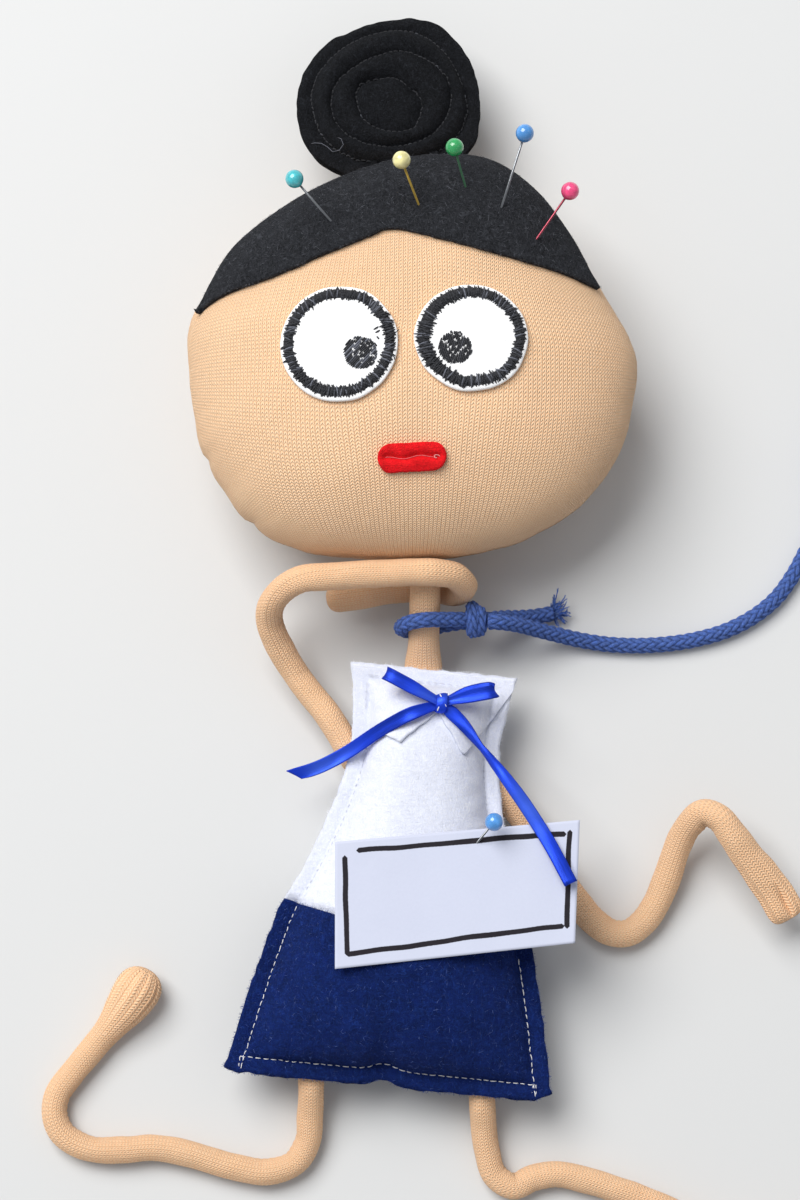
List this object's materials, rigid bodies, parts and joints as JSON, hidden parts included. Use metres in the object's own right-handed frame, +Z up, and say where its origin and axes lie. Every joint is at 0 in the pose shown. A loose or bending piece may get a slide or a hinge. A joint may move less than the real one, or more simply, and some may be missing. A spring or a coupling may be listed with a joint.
{
  "type": "stress doll",
  "caption": "Hand-sewn stuffed stress doll with bendable limbs, felt dress and bun, pins in its hair, a pinned card, a bow, and a cord tied round its neck.",
  "frame": {"origin": "The middle of the flat on the back of the body, where the doll rests on the table.", "axes": "+Y runs from the feet to the top of the head, +X to the right of the doll as seen from above, and +Z up out of its front."},
  "size_m": [0.2232, 0.2942, 0.0554],
  "materials": {
    "peach_jersey": "ribbed cotton jersey",
    "black_felt": "wool felt",
    "white_felt": "wool felt",
    "blue_felt": "wool felt",
    "red_felt": "wool felt",
    "wadding": "loose fibre",
    "soft_wire": "bare annealed wire",
    "pin_steel": "bright drawn steel",
    "card": "plain paper",
    "satin": "woven satin ribbon",
    "braid": "braided cotton",
    "teal_pearl": "pearl",
    "cream_pearl": "pearl",
    "green_pearl": "pearl",
    "blue_pearl": "pearl",
    "pink_pearl": "pearl"
  },
  "bodies": {
    "torso": {"bodice_front": "white_felt", "bodice_back": "white_felt", "skirt_front": "blue_felt", "skirt_back": "blue_felt", "body_stuffing": "wadding", "collar": "white_felt", "ribbon_bow": "satin", "neck": "peach_jersey", "neck_wire": "soft_wire", "left_arm": "peach_jersey", "left_arm_wire": "soft_wire", "cord_loop": "braid", "cord_knot": "braid", "cord_short_end": "braid", "cord_run": "braid", "cord_coil": "braid"},
    "head": {"face_panel": "peach_jersey", "head_back": "peach_jersey", "head_stuffing": "wadding", "hair": "black_felt", "left_eye": "white_felt", "right_eye": "white_felt", "mouth": "red_felt"},
    "bun": {"bun_front": "black_felt", "bun_back": "black_felt", "bun_wadding": "wadding"},
    "teal_pin": {"teal_pin_bead": "teal_pearl", "teal_pin_shaft": "pin_steel"},
    "cream_pin": {"cream_pin_bead": "cream_pearl", "cream_pin_shaft": "pin_steel"},
    "green_pin": {"green_pin_bead": "green_pearl", "green_pin_shaft": "pin_steel"},
    "blue_pin": {"blue_pin_bead": "blue_pearl", "blue_pin_shaft": "pin_steel"},
    "pink_pin": {"pink_pin_bead": "pink_pearl", "pink_pin_shaft": "pin_steel"},
    "card_pin": {"card_pin_bead": "blue_pearl", "card_pin_shaft": "pin_steel"},
    "card": {"name_card": "card"},
    "right_arm": {"right_arm": "peach_jersey", "right_arm_wire": "soft_wire"},
    "left_leg": {"left_leg": "peach_jersey", "left_leg_wire": "soft_wire"},
    "right_leg": {"right_leg": "peach_jersey", "right_leg_wire": "soft_wire"}
  },
  "joints": [
    {"name": "head_turn", "type": "hinge", "parent": "torso", "child": "head", "pos_m": [0.00471, 0.07141, 0.0235], "axis": [0, 1, 0], "range_deg": [-30, 30]},
    {"name": "bun_flop", "type": "hinge", "parent": "head", "child": "bun", "pos_m": [-0.003, 0.1645, 0.0252], "axis": [1, 0, 0], "range_deg": [0, 25]},
    {"name": "right_arm_swing", "type": "hinge", "parent": "torso", "child": "right_arm", "pos_m": [0.02024, 0.02262, 0.00859], "axis": [0, 0, 1], "range_deg": [-10, 30]},
    {"name": "left_hip", "type": "hinge", "parent": "torso", "child": "left_leg", "pos_m": [-0.02085, -0.04338, 0.00844], "axis": [0, 0, 1], "range_deg": [-25, 40]},
    {"name": "right_hip", "type": "hinge", "parent": "torso", "child": "right_leg", "pos_m": [0.01727, -0.04705, 0.00844], "axis": [0, 0, 1], "range_deg": [-30, 40]},
    {"name": "card_swing", "type": "hinge", "parent": "torso", "child": "card", "pos_m": [0.0159, 0.00773, 0.0256], "axis": [0, 0, 1], "range_deg": [-12, 12]},
    {"name": "card_pin_pull", "type": "slide", "parent": "torso", "child": "card_pin", "axis": [0.4516, 0.521, 0.7243], "range_m": [0, 0.03]},
    {"name": "teal_pin_pull", "type": "slide", "parent": "head", "child": "teal_pin", "axis": [-0.5813, 0.527, 0.62], "range_m": [0, 0.03]},
    {"name": "cream_pin_pull", "type": "slide", "parent": "head", "child": "cream_pin", "axis": [-0.3172, 0.6344, 0.7049], "range_m": [0, 0.03]},
    {"name": "green_pin_pull", "type": "slide", "parent": "head", "child": "green_pin", "axis": [-0.2334, 0.5834, 0.7779], "range_m": [0, 0.03]},
    {"name": "blue_pin_pull", "type": "slide", "parent": "head", "child": "blue_pin", "axis": [0.2588, 0.7047, 0.6606], "range_m": [0, 0.03]},
    {"name": "pink_pin_pull", "type": "slide", "parent": "head", "child": "pink_pin", "axis": [0.5104, 0.6155, 0.6005], "range_m": [0, 0.03]}
  ]
}
